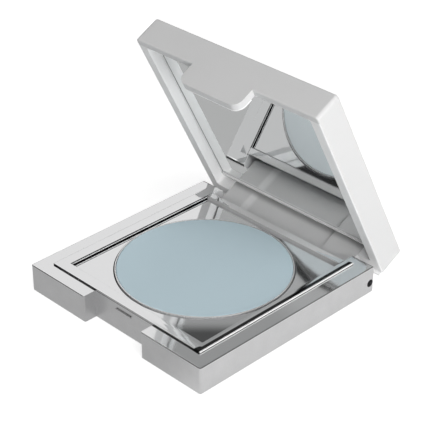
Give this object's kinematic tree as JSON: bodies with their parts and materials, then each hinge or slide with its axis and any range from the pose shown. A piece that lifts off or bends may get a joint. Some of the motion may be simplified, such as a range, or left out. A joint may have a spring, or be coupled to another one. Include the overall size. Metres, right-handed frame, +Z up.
{
  "type": "mirror compact",
  "caption": "Square compact: a metallised base with a round pan of pressed powder under a white hinged lid that holds a mirror and snaps shut with a tongue.",
  "frame": {"origin": "middle of the base's underside", "axes": "+Z up, -Y the front with the latch notch, +X along the hinge to the right as seen from the front; the lid rests 63 degrees open"},
  "size_m": [0.05, 0.0586, 0.0501],
  "materials": {
    "metallised_plastic": "satin metallised ABS",
    "plated_plastic": "polished chrome-look metallised ABS",
    "pan_metal": "pressed bright aluminium",
    "pressed_powder": "matt pressed powder, pale blue",
    "adhesive": "double-sided adhesive sheet",
    "pin_steel": "plain steel wire",
    "white_plastic": "soft matt white moulding",
    "inner_plastic": "satin white moulding",
    "silvered_glass": "silvered glass"
  },
  "bodies": {
    "base": {"base_shell": "metallised_plastic", "base_frame": "plated_plastic", "pan_plate": "plated_plastic", "powder_pan": "pan_metal", "powder_cake": "pressed_powder", "pan_adhesive": "adhesive", "hinge_pin_left": "pin_steel", "hinge_pin_right": "pin_steel"},
    "lid": {"lid_shell": "white_plastic", "lid_inner_frame": "inner_plastic", "mirror": "silvered_glass", "mirror_adhesive": "adhesive"}
  },
  "joints": [
    {"name": "lid_hinge", "type": "hinge", "parent": "base", "child": "lid", "pos_m": [0, 0.02375, 0.00255], "axis": [-1, 0, 0], "range_deg": [-63, 30]}
  ]
}
